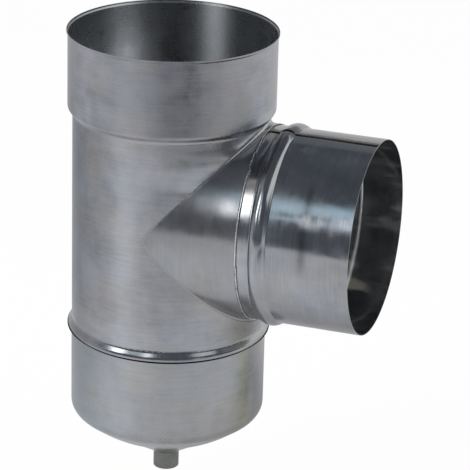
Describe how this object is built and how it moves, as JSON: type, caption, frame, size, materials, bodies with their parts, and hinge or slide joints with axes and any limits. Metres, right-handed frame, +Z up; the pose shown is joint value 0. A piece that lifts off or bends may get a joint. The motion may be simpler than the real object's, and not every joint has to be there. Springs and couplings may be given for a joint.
{
  "type": "stove pipe tee",
  "caption": "Right-angle stainless flue tee with an expanded top socket, a beaded side spigot and a pull-off coned lower cap that ends in a drain nipple.",
  "frame": {"origin": "on the run's axis, in the plane where the straight bore of the top socket begins, 2.4 mm under its rim", "axes": "+Z up along the run, out of the top socket; +X out along the branch; +Y to the left of the branch"},
  "size_m": [0.2478, 0.1624, 0.3669],
  "materials": {
    "run_sheet": "satin mill sheet with a faint grain",
    "collar_sheet": "satin to bright mill sheet",
    "spigot_sheet": "bright mill sheet",
    "cap_sheet": "satin drawn sheet",
    "nipple_tube": "dull drawn tube"
  },
  "bodies": {
    "tee": {"run_tube": "run_sheet", "branch_collar": "collar_sheet", "branch_spigot": "spigot_sheet"},
    "cap": {"drain_cap": "cap_sheet", "drain_nipple": "nipple_tube"}
  },
  "joints": [
    {"name": "cap_pull", "type": "slide", "parent": "tee", "child": "cap", "axis": [0, 0, -1], "range_m": [0, 0.055]}
  ]
}
